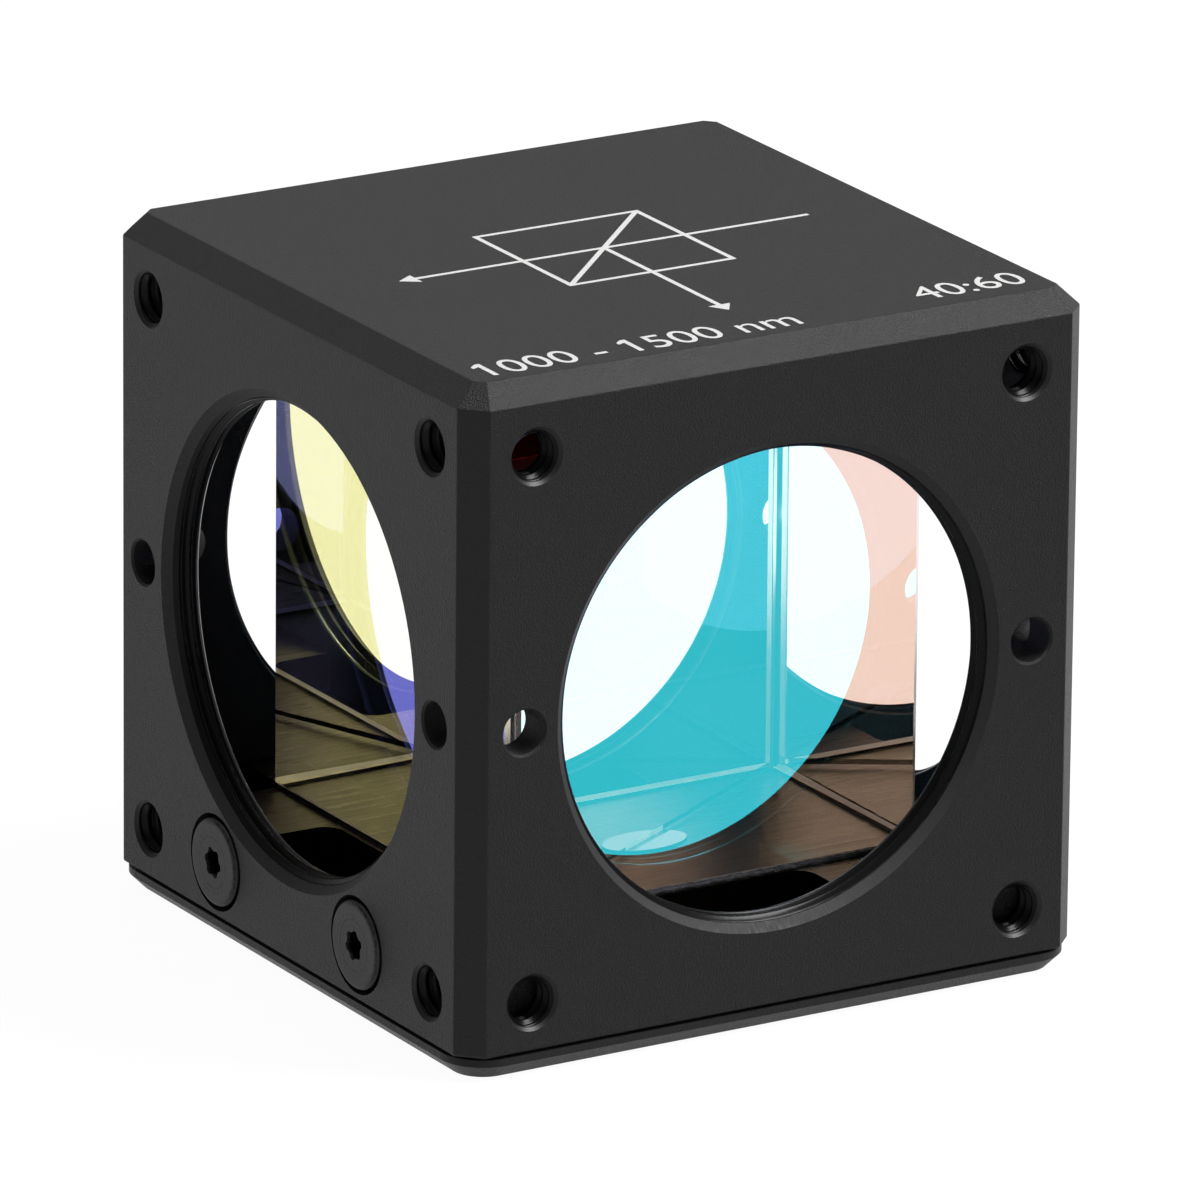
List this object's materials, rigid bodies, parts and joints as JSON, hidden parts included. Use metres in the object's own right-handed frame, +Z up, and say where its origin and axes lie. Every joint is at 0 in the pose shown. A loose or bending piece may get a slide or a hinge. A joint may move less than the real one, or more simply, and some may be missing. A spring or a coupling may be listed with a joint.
{
  "type": "beamsplitter cube",
  "caption": "Glass beamsplitter cube held in a black cage cube, with a threaded port in each side face and a post hole beneath.",
  "frame": {"origin": "middle of the underside", "axes": "+Z up through the top face; -Y is the front face, and the coating's plane holds Z and the line x = y"},
  "size_m": [0.0384, 0.0382, 0.0381],
  "materials": {
    "body_anodised": "bead-blasted, black anodised",
    "base_anodised": "milled, black anodised",
    "screw": "turned, black oxide",
    "glass": "polished, with coloured antireflection coatings on its outer faces",
    "coating": "clear cement over a partly reflecting coating",
    "adhesive": "cured, dark from the black plate under it",
    "marking": "laser engraved, matte"
  },
  "bodies": {
    "root": {"cube_body": "body_anodised", "base_plate": "base_anodised", "base_screw_1": "screw", "base_screw_2": "screw", "base_screw_3": "screw", "base_screw_4": "screw", "prism_front": "glass", "prism_back": "glass", "splitter_layer": "coating", "adhesive_layer": "adhesive", "beam_diagram": "marking"}
  },
  "joints": []
}
